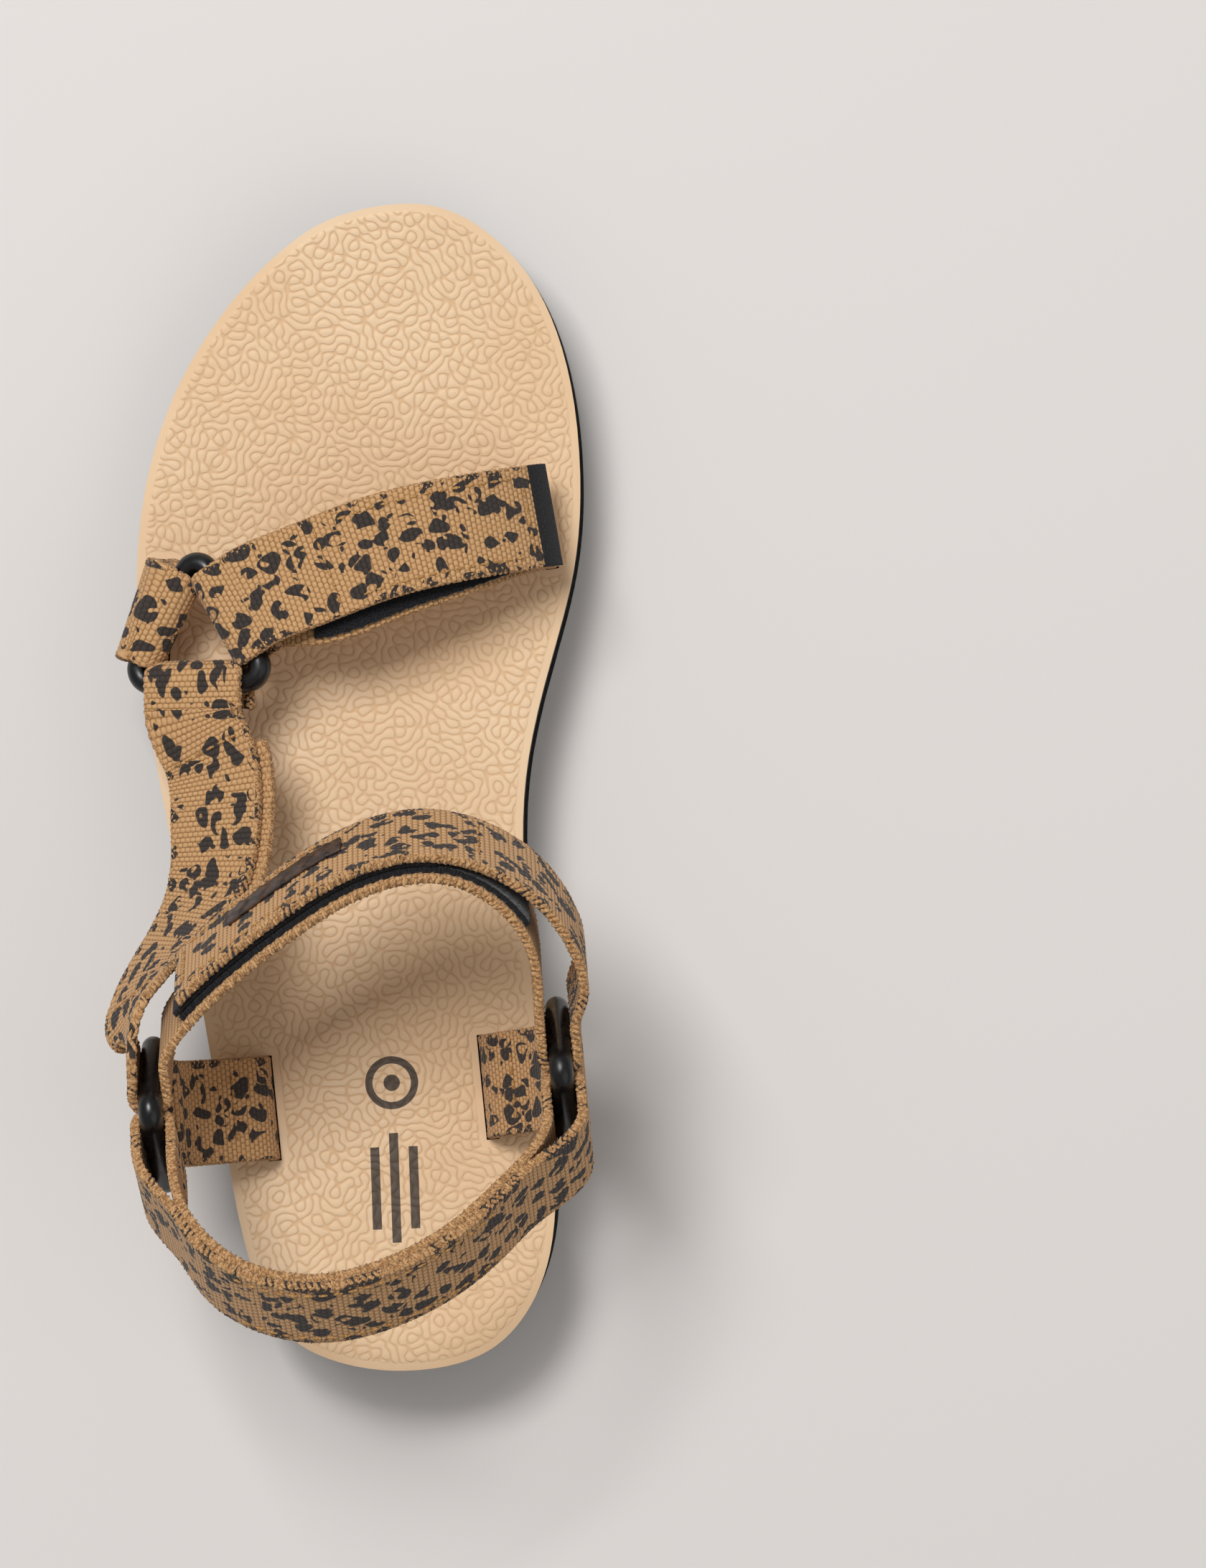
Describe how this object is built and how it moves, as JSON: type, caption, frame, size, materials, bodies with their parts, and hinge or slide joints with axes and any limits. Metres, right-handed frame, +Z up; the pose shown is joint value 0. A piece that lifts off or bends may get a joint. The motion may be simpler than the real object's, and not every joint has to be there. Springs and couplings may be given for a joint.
{
  "type": "strappy sport sandal",
  "caption": "Left-foot sport sandal: moulded footbed on a grooved rubber sole, with printed webbing straps run through triangular rings and closed by hook and loop tape.",
  "frame": {"origin": "on the ground under the middle of the sole, on the tread's resting face", "axes": "+Z up, +Y from heel to toes, +X towards the inner (big toe) side"},
  "size_m": [0.1058, 0.2567, 0.1015],
  "materials": {
    "tread_rubber": "black moulded rubber, satin",
    "midsole_foam": "dark compression-moulded foam, matte",
    "footbed_foam": "tan moulded foam with an embossed maze pattern, matte",
    "ring_plastic": "black moulded acetal, satin gloss",
    "printed_webbing": "tan polyester webbing with a dark animal print and braided edges",
    "plain_webbing": "tan polyester webbing, its unprinted face",
    "loop_tape": "black loop tape, velvety pile",
    "hook_tape": "black hook tape, woven back",
    "badge_rubber": "charcoal soft moulded badge, satin"
  },
  "bodies": {
    "base": {"outsole": "tread_rubber", "midsole": "midsole_foam", "footbed": "footbed_foam", "toe_ring": "ring_plastic", "lateral_ring": "ring_plastic", "medial_ring": "ring_plastic", "toe_anchor": "printed_webbing", "toe_strap": "printed_webbing", "toe_strap_turn": "printed_webbing", "toe_loop_tape": "loop_tape", "side_strap": "printed_webbing", "side_strap_turn": "printed_webbing", "side_strap_lining": "plain_webbing", "instep_strap": "printed_webbing", "instep_strap_turn": "printed_webbing", "instep_loop_tape": "loop_tape", "heel_turn_lateral": "printed_webbing", "heel_turn_medial": "printed_webbing", "lateral_anchor": "printed_webbing", "medial_anchor": "printed_webbing"},
    "toe_flap": {"toe_tab": "printed_webbing", "toe_hook_tape": "hook_tape"},
    "instep_flap": {"instep_tab": "printed_webbing", "instep_hook_tape": "hook_tape", "strap_badge": "badge_rubber"},
    "heel_sling": {"heel_strap_outer": "printed_webbing", "heel_strap_inner": "plain_webbing"}
  },
  "joints": [
    {"name": "toe_tab_open", "type": "hinge", "parent": "base", "child": "toe_flap", "pos_m": [-0.03067, 0.03802, 0.04235], "axis": [0.4556, -0.8746, 0.1658], "range_deg": [0, 100], "deforming": ["toe_strap_turn"]},
    {"name": "instep_tab_open", "type": "hinge", "parent": "base", "child": "instep_flap", "pos_m": [0.03675, -0.05388, 0.06603], "axis": [-0.0268, 0.4218, -0.9063], "range_deg": [0, 85], "deforming": ["instep_strap_turn"]},
    {"name": "heel_strap_fold", "type": "hinge", "parent": "base", "child": "heel_sling", "pos_m": [0.0378, -0.07029, 0.06746], "axis": [0.998, 0.0635, 0], "range_deg": [-25, 25], "deforming": ["heel_turn_lateral", "heel_turn_medial"]}
  ]
}
